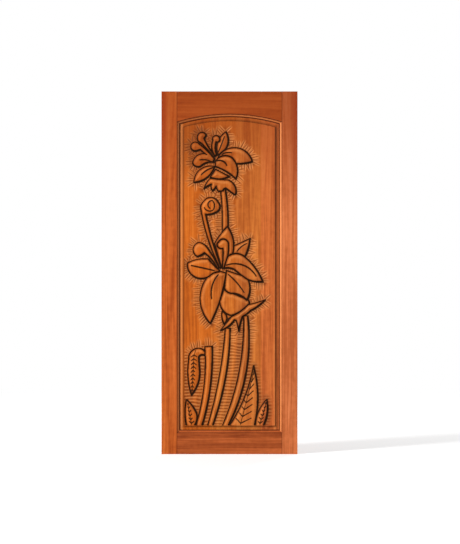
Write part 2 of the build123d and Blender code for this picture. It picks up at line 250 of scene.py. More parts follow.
def smooth_step(low, high, values):
    """0 below low, 1 above high, and a soft passage between them."""
    share = np.clip((values - low) / (high - low), 0, 1)
    return share * share * (3 - 2 * share)


def blurred(table, reach_cells, times):
    """The table averaged over its neighbours, a few times."""
    for _ in range(times):
        for axis in (0, 1):
            shifts = range(-reach_cells, reach_cells + 1)
            table = sum(np.roll(table, shift, axis) for shift in shifts) / (2 * reach_cells + 1)
    return table


def patches(size):
    """Soft random patches of about the given size, between 0 and 1."""
    cells = max(1, round(size / pitch / 2))
    noise = blurred(random.random(depth.shape), cells, 3)
    return (noise - noise.min()) / (noise.max() - noise.min())


uneven = patches(0.03)
print("patches between", uneven.min(), "and", uneven.max())

# %% [markdown]
# ## Rounded figures
#
# The figures of the CAD model have flat tops. A carver rounds petals and stems over towards the
# outline, so that they catch the light on one side. This could be sculpted on the mesh, but it
# depends only on the distance from the groove, so it is added to a table of extra depth.

# %% Rounded figures
rounding = 0.0021
rounding_width = 0.02
lip_from, lip_to = 0.001, 0.004
roundness = np.where(figure | groove, 1 - smooth_step(0.0, rounding_width, distance), 0)
extra = rounding * roundness * smooth_step(lip_from, lip_to, distance)
print(f"figures fall away by up to {extra.max() * 1000:.1f} mm")

# %% [markdown]
# ## Soft ground
#
# The CAD ground goes down in small steps. Real ground is pared down with a wide gouge and runs
# softly into the field. A blur of the table does the same, and it is held back near the grooves,
# which have to stay crisp.

# %% Softened ground
soft_reach = 0.0045
soft_from, soft_to = 0.006, 0.014
rim_fade = 0.006
soft_ground = blurred(depth, max(1, round(soft_reach / pitch)), 2)
softening = smooth_step(soft_from, soft_to, distance) * ground
softening = softening * smooth_step(0.0, rim_fade, edge_gap - rim)
softened = (soft_ground - depth) * softening
extra += softened
print(f"softening: {softened.min() * 1000:.2f} to {softened.max() * 1000:.2f} mm")

# %% [markdown]
# ## Level ribs
#
# Between the stems the carver left level ribs, one push of the gouge above the next. A Wave
# texture could draw them as bump, but they are deep enough to cast shadows, so they are cut into
# the mesh: a cosine of the height, a little wavy, that fades out near the figures and outside
# the outer stems.

# %% Level ribs between the stems
rib_pitch = 0.0175
rib_depth = 0.0017
rib_wander = 0.014
rib_top_right, rib_top_drop = 0.66, 0.06
drop_band = (-0.09, -0.03)
outer_stem_band = (0.105, 0.13)
groove_side_band = (0.003, 0.006)
rib_fade = 0.05
rib_end_outside, rib_end_more = 0.036, 0.018
rib_end_core = 0.3
weight_outside = 0.55
rib_top = rib_top_right - rib_top_drop * (1 - smooth_step(*drop_band, x_table))
wander = rib_wander * (uneven - 0.5)
ribs = 0.5 - 0.5 * np.cos(2 * pi * (z_table + wander) / rib_pitch)
between_stems = 1 - smooth_step(*outer_stem_band, x_table)
rib_end = rib_end_outside + rib_end_more * between_stems
rib_weight = 1 - smooth_step(rib_top - rib_fade, rib_top, z_table)
rib_weight = rib_weight * (weight_outside + (1 - weight_outside) * between_stems)
rib_weight = rib_weight * (1 - smooth_step(rib_end_core * rib_end, rib_end, distance))
rib_weight = rib_weight * ground * smooth_step(*groove_side_band, distance)
extra += rib_depth * ribs * rib_weight
print(f"ribs {rib_pitch * 1000:.1f} mm apart")

# %% [markdown]
# ## Gouge strokes
#
# Round the lilies each push of the gouge starts at the outline, runs straight out and comes up
# out of the wood. A noise pattern has no such direction, so the strokes are placed one by one.
# Their starts keep a spacing along the outline, each takes its heading from the nearest groove,
# and a stroke that would run back towards another outline fades out.

# %% Where the gouge strokes start
stroke_spacing = 0.0115
start_from, start_to = 0.004, 0.0065
below_ribs_top = 0.03
ring = ground & (distance > start_from) & (distance < start_to)
ring = ring & (z_table > rib_top - below_ribs_top)
starts = []
starts_by_square = {}
order = np.argwhere(ring)
random.shuffle(order)
for row, column in order:
    home = (int(rows[row] // stroke_spacing), int(columns[column] // stroke_spacing))
    neighbours = [
        point
        for up in (-1, 0, 1)
        for over in (-1, 0, 1)
        for point in starts_by_square.get((home[0] + up, home[1] + over), [])
    ]
    spot = (columns[column], rows[row])
    if all((spot[0] - x) ** 2 + (spot[1] - z) ** 2 > stroke_spacing**2 for x, z in neighbours):
        starts_by_square.setdefault(home, []).append(spot)
        starts.append((row, column))
print(f"{len(starts)} gouge strokes")

# %% Gouge strokes
stroke_depth = 0.002
stroke_half_width = 0.0052
shortest, longest = 0.032, 0.056
heading_spread = 0.09
entry_band = (-0.004, 0.002)
run_out = 0.45
astray_band = (0.005, 0.012)
weakest = 0.7
clear_band = (0.0015, 0.005)
strokes = np.zeros(depth.shape)
stroked = np.zeros(depth.shape)
for row, column in starts:
    heading = atan2(away_z[row, column], away_x[row, column]) + random.normal(0, heading_spread)
    length = random.uniform(shortest, longest)
    reach_cells = int(length / pitch) + 2
    window = (
        slice(max(row - reach_cells, 0), row + reach_cells),
        slice(max(column - reach_cells, 0), column + reach_cells),
    )
    from_x = x_table[window] - columns[column]
    from_z = z_table[window] - rows[row]
    along = from_x * cos(heading) + from_z * sin(heading)
    across = np.abs(from_z * cos(heading) - from_x * sin(heading))
    fade = smooth_step(*entry_band, along)
    fade = fade * (1 - smooth_step(run_out * length, length, along))
    astray = np.abs(distance[window] - distance[row, column] - along)
    fade = fade * (1 - smooth_step(*astray_band, astray))
    strength = fade * random.uniform(weakest, 1)
    hollow = 1 - smooth_step(0, stroke_half_width, across)
    beside = 1 - smooth_step(stroke_half_width, 2 * stroke_half_width, across)
    strokes[window] = np.maximum(strokes[window], hollow * strength)
    stroked[window] = np.maximum(stroked[window], beside * strength)
clear_ground = ground * smooth_step(*clear_band, distance)
strokes = strokes * clear_ground
stroked = stroked * clear_ground
extra += stroke_depth * strokes
print(f"strokes up to {stroke_depth * 1000:.1f} mm deep")

# %% [markdown]
# ## Midribs
#
# Four leaves have a midrib, cut with one long stroke of a small V tool. A curve could be swept
# along each, but then it would have to be cut out of the leaf. Here its line is given by a few
# points, and each cell's distance from that line makes the groove.

# %% Midribs of the leaves
midribs = [
    [(0.061, 0.164), (0.132, 0.440), (0.143, 0.500)],
    [(0.170, 0.164), (0.206, 0.290)],
    [(-0.213, 0.164), (-0.234, 0.285)],
    [(-0.190, 0.580), (-0.198, 0.556), (-0.209, 0.362), (-0.211, 0.345)],
]
midrib_core, midrib_half_width = 0.001, 0.0034


def line_gap(points):
    """Distance of each cell from a line through the points."""
    gap = np.full(depth.shape, reach)
    for (x1, z1), (x2, z2) in zip(points, points[1:]):
        length = np.hypot(x2 - x1, z2 - z1)
        along = ((x_table - x1) * (x2 - x1) + (z_table - z1) * (z2 - z1)) / length**2
        along = np.clip(along, 0, 1)
        here = np.hypot(x_table - x1 - along * (x2 - x1), z_table - z1 - along * (z2 - z1))
        gap = np.minimum(gap, here)
    return gap


midrib = np.zeros(depth.shape)
for points in midribs:
    line = 1 - smooth_step(midrib_core, midrib_half_width, line_gap(points))
    midrib = np.maximum(midrib, line)
midrib = midrib * figure
print(len(midribs), "midribs")

# %% [markdown]
# ## Painted shade in the hearts and the corner
#
# Painted shade darkens the hearts of the lilies, where many petals meet, and the panel's upper
# left corner. Nothing in the relief says so, so each is a soft round patch about a centre.

# %% Painted shade in the hearts of the lilies and the upper left corner
lily_hearts = [(-0.039, 1.026), (-0.081, 1.631)]
heart_core, heart_radius = 0.015, 0.085
shaded_corner = (-0.22, 1.74)
corner_core, corner_radius = 0.05, 0.25


def round_patch(centre, core, radius):
    """1 about a centre and 0 beyond the radius."""
    return 1 - smooth_step(core, radius, np.hypot(x_table - centre[0], z_table - centre[1]))


# Painted shade, darkest at each centre.
heart_shade = np.zeros(depth.shape)
for centre in lily_hearts:
    heart_shade = np.maximum(heart_shade, round_patch(centre, heart_core, heart_radius))
corner = round_patch(shaded_corner, corner_core, corner_radius)
print(f"{(heart_shade > 0.5).sum()} cells in the hearts, {(corner > 0.5).sum()} in the corner")

# %% [markdown]
# ## Stain, painted shade and painted highlights
#
# The finisher wiped dark stain over the carving and off again. It stayed in the grooves and the
# veins, browned the sunk ground beside them, and was rubbed off the crests. Painted shade and
# painted highlights go into the same masks: the dark line and the brown are wider on the side of
# an outline that faces away from the light, painted shade darkens the hearts of the lilies, the
# upper left corner and the figures' edges, and the figures' rims that face the light are paled.
# A noise pattern can't know where the carving is, so three masks are worked out here, for stain
# and painted shade, for the brown ground, and for rubbed crests and painted highlights, and they
# are kept with the mesh as attributes.

# %% Stain in the grooves, and painted shade beside them
shade_x, shade_z = 0.55, -0.83
groove_stain, painted_shade_width = 0.0056, 0.0034
figure_shade = -0.5
width_steady, width_patchy = 0.75, 0.5
stain_core, stain_end = 0.15, 1.15
# Painted shade: the dark line beside a groove widens on the side that faces away from the light,
# and narrows on a figure's rim that faces it.
shade_side = (shade_x * away_x + shade_z * away_z) / np.maximum(distance, pitch)
shade_share = np.where(ground, shade_side, figure_shade * shade_side)
stain_and_shade_width = groove_stain + painted_shade_width * shade_share
stain_and_shade_width = stain_and_shade_width * (width_steady + width_patchy * uneven)
stain_and_shade = 1 - smooth_step(stain_core * stain_and_shade_width, stain_end * stain_and_shade_width, distance)
stain_and_shade = np.where(carved, stain_and_shade, 0)
print(f"stain beside the grooves up to {stain_and_shade_width.max() * 1000:.1f} mm wide")

# %% Stain in the veins and along the field's edge
vein_shallow, vein_full, vein_clear = 0.0002, 0.0008, 0.0045
vein_gain, heart_shade_gain = 14, 4
vein_depth = 0.0008
vein_stain = 0.72
edge_line_band = (0.001, 0.004)
edge_line_stain = 0.5
vein = smooth_step(vein_shallow, vein_full, sunk) * (distance > vein_clear)
# Near the hearts of the lilies the veins are widened into painted shade.
vein = np.clip(blurred(vein, 1, 2) * (vein_gain + heart_shade_gain * heart_shade), 0, 1) * figure
vein = np.maximum(vein, midrib)
extra += vein_depth * vein
stain_and_shade = np.maximum(stain_and_shade, vein * vein_stain)
edge_line = 1 - smooth_step(*edge_line_band, np.abs(edge_gap))
stain_and_shade = np.maximum(stain_and_shade, edge_line_stain * edge_line)
print(f"stain covers {stain_and_shade.mean():.1%} of the panel")

# %% Brown on the sunk ground, and painted shade
brown_band = (0.004, 0.036)
brown_steady, brown_patchy = 0.65, 0.8
brown_even, brown_shade = 0.85, 0.4
stroke_brown, rib_brown, heart_shade_strength, corner_shade_strength = 0.95, 0.85, 0.38, 0.42
figure_edge_band = (0.004, 0.013)
figure_edge_shade_strength = 0.5
brown_and_shade = (1 - smooth_step(*brown_band, distance)) * ground
brown_and_shade = brown_and_shade * (brown_steady + brown_patchy * uneven)
# Painted shade: the brown is heavier on the side of an outline that faces away from the light.
brown_and_shade = brown_and_shade * (brown_even + brown_shade * shade_side)
brown_and_shade = np.maximum(brown_and_shade, stroke_brown * strokes)
brown_and_shade = np.maximum(brown_and_shade, rib_brown * ribs * rib_weight)
# Painted shade over the hearts of the lilies and in the upper left corner.
brown_and_shade = np.maximum(brown_and_shade, heart_shade_strength * heart_shade * figure)
brown_and_shade += corner_shade_strength * corner
# Painted shade along the figures' edges, where they round over into the groove.
figure_edge_shade = figure * (1 - smooth_step(*figure_edge_band, distance))
brown_and_shade = np.maximum(brown_and_shade, figure_edge_shade * figure_edge_shade_strength)
print(f"brown covers {np.clip(brown_and_shade, 0, 1).mean():.1%}")

# %% Pale crests: rubbed ridges and painted highlights
crest_rise, crest_fall = (0.006, 0.01), (0.014, 0.03)
crest_even, lit_rim_highlight = 0.2, 0.5
beside_stroke, stroke_band = 1.2, (0.1, 0.5)
beside_rib, rib_band = 0.8, (0.2, 0.7)
corner_loss = 0.7
bevel_highlight, bevel_highlight_place, bevel_highlight_band = 0.85, 0.007, (0.002, 0.006)
# Painted highlight on the rims of the figures, strongest on the side that faces the light.
rub_and_highlight = figure * smooth_step(*crest_rise, distance) * (1 - smooth_step(*crest_fall, distance))
rub_and_highlight = rub_and_highlight * np.clip(crest_even + lit_rim_highlight * shade_side, 0, 1) * (1 - vein)
rub_and_highlight = np.maximum(rub_and_highlight, beside_stroke * stroked * (1 - smooth_step(*stroke_band, strokes)))
rib_crest = beside_rib * rib_weight * (1 - smooth_step(*rib_band, ribs))
rub_and_highlight = np.clip(np.maximum(rub_and_highlight, rib_crest), 0, 1)
# Painted shade dims the pale in the upper left corner.
rub_and_highlight = rub_and_highlight * (1 - corner_loss * corner)
# A painted highlight along the panel's bevel.
bevel_highlight_line = 1 - smooth_step(*bevel_highlight_band, np.abs(edge_gap + bevel_highlight_place))
rub_and_highlight = np.maximum(rub_and_highlight, bevel_highlight * bevel_highlight_line)
print(f"crests cover {rub_and_highlight.mean():.1%}")

# %% The finished tables
extra = np.where(carved, extra, 0)
tables = {"extra": extra, "stain_and_shade": stain_and_shade, "ground": np.clip(brown_and_shade, 0, 1), "rub_and_highlight": rub_and_highlight}
mask_names = ("stain_and_shade", "ground", "rub_and_highlight")
print(f"extra depth from {extra.min() * 1000:.2f} to {extra.max() * 1000:.2f} mm")

# %% [markdown]
# ## Reading between the cells
#
# The points of a board don't lie on the cells of the tables. Taking the nearest cell would leave
# steps in the wood, so a value is blended from the four cells round a point, as an image texture
# does with its pixels.

# %% Reading a table between its cells
last_whole_cell = 1.001


def sample(name, xs, zs):
    """Values of a table at places given by arrays, blended from the four cells round each."""
    table = tables[name]
    across = np.clip((xs - columns[0]) / pitch, 0, len(columns) - last_whole_cell)
    up = np.clip((zs - rows[0]) / pitch, 0, len(rows) - last_whole_cell)
    column = across.astype(int)
    row = up.astype(int)
    right = across - column
    over = up - row
    lower = table[row, column] * (1 - right) + table[row, column + 1] * right
    upper = table[row + 1, column] * (1 - right) + table[row + 1, column + 1] * right
    return lower * (1 - over) + upper * over


middle_stain = sample("stain_and_shade", np.array([0.0]), np.array([1.0]))[0]
print(f"stain at the middle of the panel: {middle_stain:.2f}")

# %% [markdown]
# ## The boards
#
# Each board becomes a fine grid that keeps the CAD board's form: the tongue, the bevel, the step
# up to the field and the plain raised back. A displacement modifier would push points without
# regard to those edges, so grid lines are put exactly on each of them, and even, fine lines lie
# between. The back is plain, so it keeps only one fine line in eight.

# %% Lines of a board's grid
cell = 0.00178
back_step = 8
decimals = 7


def filled(stops, fine_from, fine_to):
    """Lines at the stops and evenly between two of them, and which of them the back keeps."""
    count = max(2, round((fine_to - fine_from) / cell))
    fine = np.linspace(fine_from, fine_to, count + 1)
    lines = np.unique(np.round(np.concatenate([stops, fine]), decimals))
    kept = np.isin(lines, np.round(stops, decimals))
    kept[::back_step] = True
    kept = np.flatnonzero(kept)
    nearest = [kept[np.abs(kept - number).argmin()] for number in range(len(lines))]
    return lines, np.array(nearest)


def board_columns(low, high):
    """Positions across a board."""
    edges = [panel_half, opening_half, opening_half - quirk, field_half + hair, field_half - hair]
    edges = [side * edge for side in (-1, 1) for edge in edges]
    stops = [low, high] + [edge for edge in edges if low < edge < high]
    return filled(stops, max(low, -field_half + rim), min(high, field_half - rim))


def board_rows():
    """Heights of the rows on the leaf's middle line."""
    field_top = arch_z + field_radius
    bevel_top = field_top + bevel
    stops = [panel_low.z, opening_low, opening_low + quirk, field_low - hair, field_low + hair]
    stops += [field_top - hair, field_top + hair, bevel_top, bevel_top + quirk, panel_top]
    return filled(stops, field_low + rim, field_top - rim)


up, back_up = board_rows()
print(len(up), "rows, of which the back keeps", len(set(back_up)))

# %% [markdown]
# ## Rows and the arch
#
# The panel's top is an arc, and level rows would cut it into stairs. So the rows are level low
# down and bend more and more towards the top, until the last one is the arc itself. Then a ray
# through each grid point finds the depth of the wood there.

# %% Rows that bend with the arch
bend_from, bend_to = 1.5, 1.82


def row_heights(middles, xs):
    """Heights of points on rows: level low down, and bent to the arch near the top."""
    bend = smooth_step(bend_from, bend_to, middles)
    radius = np.maximum(middles - arch_z, 2 * panel_half)
    return middles - bend * (radius - np.sqrt(radius**2 - xs**2))


def grid_number(places, lines):
    """Which line a grid point lies on, from its place between -1 and 1."""
    return np.rint((np.array(places) + 1) / 2 * (len(lines) - 1)).astype(int)


def laid(board, xs, middles, side):
    """Depths of points on a board's front, side -1, or back, side 1, and their heights."""
    low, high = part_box(board)
    zs = row_heights(middles, xs)
    ray_x = np.clip(xs, low.x + hair, high.x - hair)
    ray_z = np.clip(zs, low.z + hair, None) - np.where(middles >= panel_top - hair, 2 * hair, 0)
    return np.array([surface(trees[board], x, z, side) for x, z in zip(ray_x, ray_z)]), zs


shoulder_z = row_heights(np.array([panel_top]), np.array([panel_half]))[0]
print(f"the top row ends at a height of {shoulder_z:.3f}")

# %% [markdown]
# ## Laying the grid on the wood
#
# A flat sheet of grid points becomes the board when each point goes to its column, its row and
# the depth that the ray found. The front also takes the hand work and carries the three masks.
# On the back, points between the lines that it keeps are drawn to those lines and merged, so the
# skin stays closed while most of its faces go.


# %% Front and back of a board
def lay_front(board, front, across, layers):
    """Lays the fine front on the carved surface and notes the masks there."""
    xs = across[grid_number([point.co.x for point in front], across)]
    middles = up[grid_number([point.co.y for point in front], up)]
    ys, zs = laid(board, xs, middles, -1)
    ys += sample("extra", xs, zs)
    values = {name: sample(name, xs, zs).tolist() for name in layers}
    for number, place in enumerate(zip(xs.tolist(), ys.tolist(), zs.tolist())):
        front[number].co = place
        for name, layer in layers.items():
            front[number][layer] = values[name][number]


def lay_back(board, work, back, across, back_across):
    """Draws the back to the lines it keeps, merges its points and lays them on the CAD."""
    xs = across[back_across[grid_number([point.co.x for point in back], across)]]
    middles = up[back_up[grid_number([point.co.y for point in back], up)]]
    for point, x, middle in zip(back, xs.tolist(), middles.tolist()):
        point.co = (x, reach, middle)
    bmesh.ops.remove_doubles(work, verts=back, dist=hair / 2)
    back = [point for point in back if point.is_valid]
    xs = np.array([point.co.x for point in back])
    ys, zs = laid(board, xs, np.array([point.co.z for point in back]), 1)
    for point, place in zip(back, zip(xs.tolist(), ys.tolist(), zs.tolist())):
        point.co = place
    return len(back)


print("the front carries the masks", ", ".join(mask_names))

# %% [markdown]
# ## One closed skin
#
# A solid board needs sides too. Extruding the sheet once before its points are placed gives
# front, back and sides in one skin with no seam. Edges where the faces turn sharply are marked
# sharp, so the rest can be shaded smooth without rounding off the board's corners.

# %% A board as a closed grid
sharp_angle = radians(38)


def carve_board(board):
    """Mesh of one board, fine in front, with its masks as point attributes."""
    low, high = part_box(board)
    across, back_across = board_columns(low.x, high.x)
    work = bmesh.new()
    layers = {name: work.verts.layers.float.new(name) for name in mask_names}
    bmesh.ops.create_grid(work, x_segments=len(across) - 1, y_segments=len(up) - 1, size=1)
    front = work.verts[:]
    extruded = bmesh.ops.extrude_face_region(work, geom=work.faces[:])["geom"]
    back = [item for item in extruded if isinstance(item, bmesh.types.BMVert)]
    lay_front(board, front, across, layers)
    kept = lay_back(board, work, back, across, back_across)
    print(f"{board}: {len(front)} points in front, {kept} behind")

    bmesh.ops.recalc_face_normals(work, faces=work.faces[:])
    for edge in work.edges:
        edge.smooth = edge.calc_face_angle(0) < sharp_angle
    for face in work.faces:
        face.smooth = True
    mesh = bpy.data.meshes.new(board + "_carved")
    work.to_mesh(mesh)
    work.free()
    return mesh


print(f"edges over {np.degrees(sharp_angle):.0f} degrees stay sharp")

# %% The four carved boards
carved_boards = {}
for board in boards:
    piece = bpy.data.objects.new("carved_" + board, carve_board(board))
    bpy.context.collection.objects.link(piece)
    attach(piece, "root")
    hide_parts(board)
    carved_boards[board] = piece
    print(piece.name, "has", len(piece.data.polygons), "faces")

# %% [markdown]
# ## Shader maths
#
# A finish is a chain of small sums on noise patterns. Written as Python expressions they stay
# readable: a channel wraps the socket that a value comes from, and adding or multiplying two
# channels adds the Math node that does it. Every other node comes from one method of the finish,
# which sets the node's own settings first and then fills or links its sockets.


# %% A channel
class Channel:
    """A value that varies over a surface."""

    def __init__(self, finish, socket):
        self.finish = finish
        self.socket = socket

    def combine(self, operation, first, second):
        return self.finish.node("ShaderNodeMath", {"operation": operation}, {0: first, 1: second})

    def __add__(self, other):
        return self.combine("ADD", self, other)

    def __radd__(self, other):
        return self.combine("ADD", other, self)

    def __sub__(self, other):
        return self.combine("SUBTRACT", self, other)

    def __rsub__(self, other):
        return self.combine("SUBTRACT", other, self)

    def __mul__(self, other):
        return self.combine("MULTIPLY", self, other)

    def __rmul__(self, other):
        return self.combine("MULTIPLY", other, self)


print("a channel can be added, subtracted and multiplied")


# %% A finish
class Finish:
    """The emptied node tree of a material or of the world, and the method that adds nodes."""

    def __init__(self, owner):
        owner.use_nodes = True
        self.owner = owner
        self.tree = owner.node_tree
        self.tree.nodes.clear()

    def node(self, kind, settings=None, sockets=None, output=0):
        """Adds a node and gives one of its outputs, or nothing where it has none."""
        made = self.tree.nodes.new(kind)
        for name, value in (settings or {}).items():
            setattr(made, name, value)
        for name, value in (sockets or {}).items():
            if isinstance(value, Channel):
                self.tree.links.new(value.socket, made.inputs[name])
            else:
                made.inputs[name].default_value = value
        if not made.outputs:
            return None
        return Channel(self, made.outputs[output])

    def fade(self, value, low, high):
        """0 below low, 1 above high, soft between."""
        limits = {"Value": value, "From Min": low, "From Max": high}
        return self.node("ShaderNodeMapRange", {"interpolation_type": "SMOOTHSTEP"}, limits)

    def size(self, value):
        """A value without its sign."""
        return self.node("ShaderNodeMath", {"operation": "ABSOLUTE"}, {0: value})

    def blend(self, under, over, amount):
        """Two colours mixed by an amount."""
        return self.node("ShaderNodeMix", {"data_type": "RGBA"}, {0: amount, 6: under, 7: over}, 2)


print("a finish adds nodes, fades, sizes and blends")


# %% Colours
def linear(part):
    """The share of light that a screen value between 0 and 1 stands for."""
    return part / 12.92 if part <= 0.04045 else ((part + 0.055) / 1.055) ** 2.4


def colour(red, green, blue):
    """A colour given in screen values, as the linear colour that a shader wants."""
    return (*(linear(value / 255) for value in (red, green, blue)), 1)


print("mid orange:", [round(part, 3) for part in colour(200, 105, 45)])

# %% [markdown]
# ## Varnished timber
#
# One recipe serves all the wood. Noise that is stretched along the grain gives broad bands of
# growth rings, a finer one gives fibres, and the finest gives pores. A picture of wood would
# repeat and would need unwrapping, while a pattern on Object coordinates runs through the piece
# as real grain does. The stretch follows the piece: up the stiles and the boards, along the
# rails. Each piece gets its own shift, so that no two show the same grain.

# %% The timber recipe
tone_grain = (7, 0.9, 2)
band_grain = (16, 0.7, 3, 0.6)
fibre_grain = (190, 4.5, 3)
pore_grain = (620, 16, 1)
streak_grain = (34, 0.8, 2)
mottle_scale = 38.0
rings_in_bands = 34
pore_band = (0.62, 0.74)
lightness_band = (0.44, 0.96)
middle_band, pale_band = (0.0, 0.55), (0.45, 1.0)
pore_dark = 0.45
fibre_height, pore_height = 0.5, 0.6


def timber(name, pale, middle, dark, along_x=False, shift=(0, 0, 0)):
    """Finish with the shared grain, and the colour and height that further layers build on."""
    finish = Finish(bpy.data.materials.new(name))
    place = finish.node("ShaderNodeTexCoord", output="Object")

    def grain(across, lengthwise, detail, distortion=0.0):
        scale = (lengthwise, across, across) if along_x else (across, across, lengthwise)
        mapping = {"Vector": place, "Location": shift, "Scale": scale}
        spot = finish.node("ShaderNodeMapping", sockets=mapping)
        looks = {"Vector": spot, "Scale": 1.0, "Detail": detail, "Distortion": distortion}
        return finish.node("ShaderNodeTexNoise", sockets=looks)

    tone = grain(*tone_grain)
    bands = grain(*band_grain)
    rings = finish.node("ShaderNodeMath", {"operation": "SINE"}, {0: bands * rings_in_bands})
    fibre = grain(*fibre_grain)
    pores = finish.fade(grain(*pore_grain), *pore_band)
    streaks = grain(*streak_grain)
    mottle = {"Vector": place, "Scale": mottle_scale, "Detail": 3.0}
    mottle = finish.node("ShaderNodeTexNoise", sockets=mottle)
    light = tone * 0.4 + bands * 0.25 + streaks * 0.3 + rings * 0.05 + fibre * 0.25 + mottle * 0.15
    light = finish.fade(light, *lightness_band)
    wood = finish.blend(dark, middle, finish.fade(light, *middle_band))
    wood = finish.blend(wood, pale, finish.fade(light, *pale_band))
    wood = finish.blend(wood, dark, pores * pore_dark)
    height = fibre * fibre_height - pores * pore_height
    return finish, place, wood, height, fibre


print(f"bands about {1000 / band_grain[0]:.0f} mm wide, fibres {1000 / fibre_grain[0]:.0f} mm")

# %% [markdown]
# ## Varnish
#
# Old varnish is a thin satin film that has sunk into the grain. A Principled shader has a coat
# for it, here a weak one over rather dull wood, because a strong gloss would turn the dark carved
# lines milky. The fibres and pores stand out a little as bump.

# %% The varnish
grain_bump, grain_height = 0.25, 0.0004
wood_shine = 0.16
satin_coat = 0.1
coat_roughness = 0.28
warm_reflection = colour(255, 214, 170)


def varnish(finish, wood, height, roughness, coat=satin_coat):
    """Closes a finish: the wood under a thin satin coat."""
    relief = {"Strength": grain_bump, "Distance": grain_height, "Height": height}
    shader = finish.node(
        "ShaderNodeBsdfPrincipled",
        sockets={
            "Base Color": wood,
            "Roughness": roughness,
            "Specular IOR Level": wood_shine,
            "Specular Tint": warm_reflection,
            "Coat Weight": coat,
            "Coat Roughness": coat_roughness,
            "Normal": finish.node("ShaderNodeBump", sockets=relief),
        },
    )
    finish.node("ShaderNodeOutputMaterial", sockets={"Surface": shader})
    return finish.owner


print(f"grain {grain_height * 1000:.1f} mm deep under a coat of weight {satin_coat}")

# %% [markdown]
# ## Stains, painted shade and painted highlights
#
# Stain has gathered in the gap between the moulding and the panel, and in the joints between the
# rails and stiles. Painted shade darkens the step where the moulding leaves the flat face, and a
# painted highlight pales the moulding's round. The whole leaf is darker and redder towards the
# top, and redder near its outer edges higher up. A dark line could be painted on an unwrapped
# mesh, but the stiles and rails keep their CAD meshes, so each line is worked out from the
# distance to it: straight lines for the stiles and the bottom rail, a circle about the arch's
# centre for the top rail. A line is given as its axis, its place, its half width and its strength.

# %% Lines along the moulding
stain_and_shade_brown = colour(62, 20, 6)
# Pale orange of the painted highlights.
highlight_orange = colour(238, 150, 84)
top_brown = colour(136, 50, 12)
outer_red = colour(140, 38, 10)
moulding = 0.014
# Painted shade on the step where the moulding leaves the flat face; the gap and joint lines are
# stain.
moulding_step_shade = (0.0022, 0.8)
gap_stain = (0.003, 0.9)
joint_stain = (0.0025, 0.6)
line_core = 0.3


def soft_line(finish, value, line, half_width):
    """1 on a line and 0 beyond its half width."""
    return 1 - finish.fade(finish.size(value - line), half_width * line_core, half_width)


def measured(finish, place):
    """Places in the leaf as plain numbers: across, up, from the middle, from the arch's centre."""
    split = {"Vector": place}
    axes = {axis: finish.node("ShaderNodeSeparateXYZ", {}, split, axis) for axis in ("X", "Z")}
    to_centre = {0: place, 1: (1, 0, 1), 2: (0, 0, -arch_z)}
    spoke = finish.node("ShaderNodeVectorMath", {"operation": "MULTIPLY_ADD"}, to_centre)
    axes["arch"] = finish.node("ShaderNodeVectorMath", {"operation": "LENGTH"}, {0: spoke}, "Value")
    axes["ends"] = finish.size(axes["X"])
    return axes


print(f"moulding {moulding * 1000:.0f} mm wide, stained at both edges")

# %% Wood that darkens towards the top
top_band = (1.2, 2.0)
usual_top_darkening = 0.55
outer_across, outer_up = (0.328, 0.372), (1.1, 1.9)
outer_reddening = 0.55
above_foot, below_top = (0.03, 0.1), (1.94, 1.99)


def darkened_and_lined(finish, wood, axes, lines, highlight_lines, top_darkening=usual_top_darkening):
    """Wood that darkens towards the top and reddens near the outer edges higher up, with dark lines
    of stain and of painted shade, and pale lines of painted highlight.
    """
    wood = finish.blend(wood, top_brown, finish.fade(axes["Z"], *top_band) * top_darkening)
    outer = finish.fade(axes["ends"], *outer_across) * finish.fade(axes["Z"], *outer_up)
    wood = finish.blend(wood, outer_red, outer * outer_reddening)
    exposed = finish.fade(axes["Z"], *above_foot) - finish.fade(axes["Z"], *below_top)
    # Pale lines of painted highlight.
    for axis, line, half_width, strength in highlight_lines:
        mark = soft_line(finish, axes[axis], line, half_width) * exposed
        wood = finish.blend(wood, highlight_orange, mark * strength)
    # Dark lines: stain in the joints, and painted shade on the moulding's step and the right bevel.
    for axis, line, half_width, strength in lines:
        mark = soft_line(finish, axes[axis], line, half_width)
        wood = finish.blend(wood, stain_and_shade_brown, mark * strength)
    return wood


print(f"darker from {top_band[0]} m up")

# %% [markdown]
# ## The frame's wood
#
# Two stiles and two rails, each sawn from its own plank, so each has its own three tones. The
# right stile is the pinkest and the rails are the brownest. A CAD object keeps its mesh and only
# gets another material in its slot.

# %% A frame member's finish
face_edge = opening_half + moulding
arch_radius = panel_radius - tongue
highlight_half_width = 0.005
arch_highlight, stile_highlight = 0.5, 0.6
frame_roughness, fibre_roughness = 0.42, 0.12


def member(node, tones, lines, along_x=False, shift=(0, 0, 0), top_darkening=usual_top_darkening):
    """Varnished finish of a stile or a rail, with dark lines on the given lines of the moulding,
    stain in its joints and painted shade on its step, and a painted highlight on its round.
    """
    finish, place, wood, height, fibre = timber(node + "_wood", *tones, along_x, shift)
    # A painted highlight along the round of the moulding.
    highlight_lines = [("arch", arch_radius + moulding / 2, highlight_half_width, arch_highlight)]
    if not along_x:
        highlight_lines = [("ends", opening_half + moulding / 2, highlight_half_width, stile_highlight)]
    wood = darkened_and_lined(finish, wood, measured(finish, place), lines, highlight_lines, top_darkening)
    material = varnish(finish, wood, height, frame_roughness + fibre * fibre_roughness)
    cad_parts[node].material_slots[0].material = material
    print(node, "is finished")


print(f"the moulding ends {face_edge:.3f} from the middle")

# %% Stiles
member(
    "left_stile",
    (colour(224, 122, 56), colour(200, 98, 38), colour(160, 68, 20)),
    [("X", -face_edge, *moulding_step_shade), ("X", -opening_half, *gap_stain)],
    shift=(3.1, 0.4, 0.7),
)
member(
    "right_stile",
    (colour(240, 148, 96), colour(218, 120, 68), colour(180, 90, 44)),
    [("X", face_edge, *moulding_step_shade), ("X", opening_half, *gap_stain)],
    shift=(7.7, 2.2, 3.9),
    top_darkening=0.7,
)

